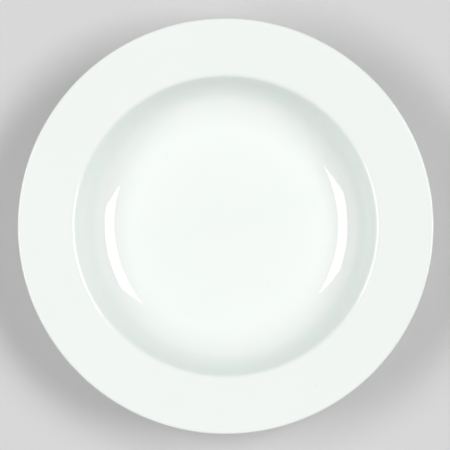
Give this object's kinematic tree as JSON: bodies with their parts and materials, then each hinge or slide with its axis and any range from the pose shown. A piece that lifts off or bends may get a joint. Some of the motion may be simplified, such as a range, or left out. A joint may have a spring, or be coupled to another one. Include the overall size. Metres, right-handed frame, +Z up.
{
  "type": "rimmed soup plate",
  "caption": "Round rimmed soup plate: a wide sloping rim round a coved well with a flat floor, standing on a low foot ring.",
  "frame": {"origin": "centre of the foot ring, on the plane that the plate stands on", "axes": "+Z up along the plate's axis of rotation, out of the well; X and Y lie in the standing plane and are interchangeable"},
  "size_m": [0.23, 0.23, 0.0349],
  "materials": {
    "fired_clay": "fired and unglazed, fine matte grain, bare only at the foot ring's bearing edge",
    "white_glaze": "glossy, faintly cool white glaze with a soft waviness"
  },
  "bodies": {
    "root": {"ceramic_body": "fired_clay", "glaze_coat": "white_glaze", "recess_glaze": "white_glaze"}
  },
  "joints": []
}
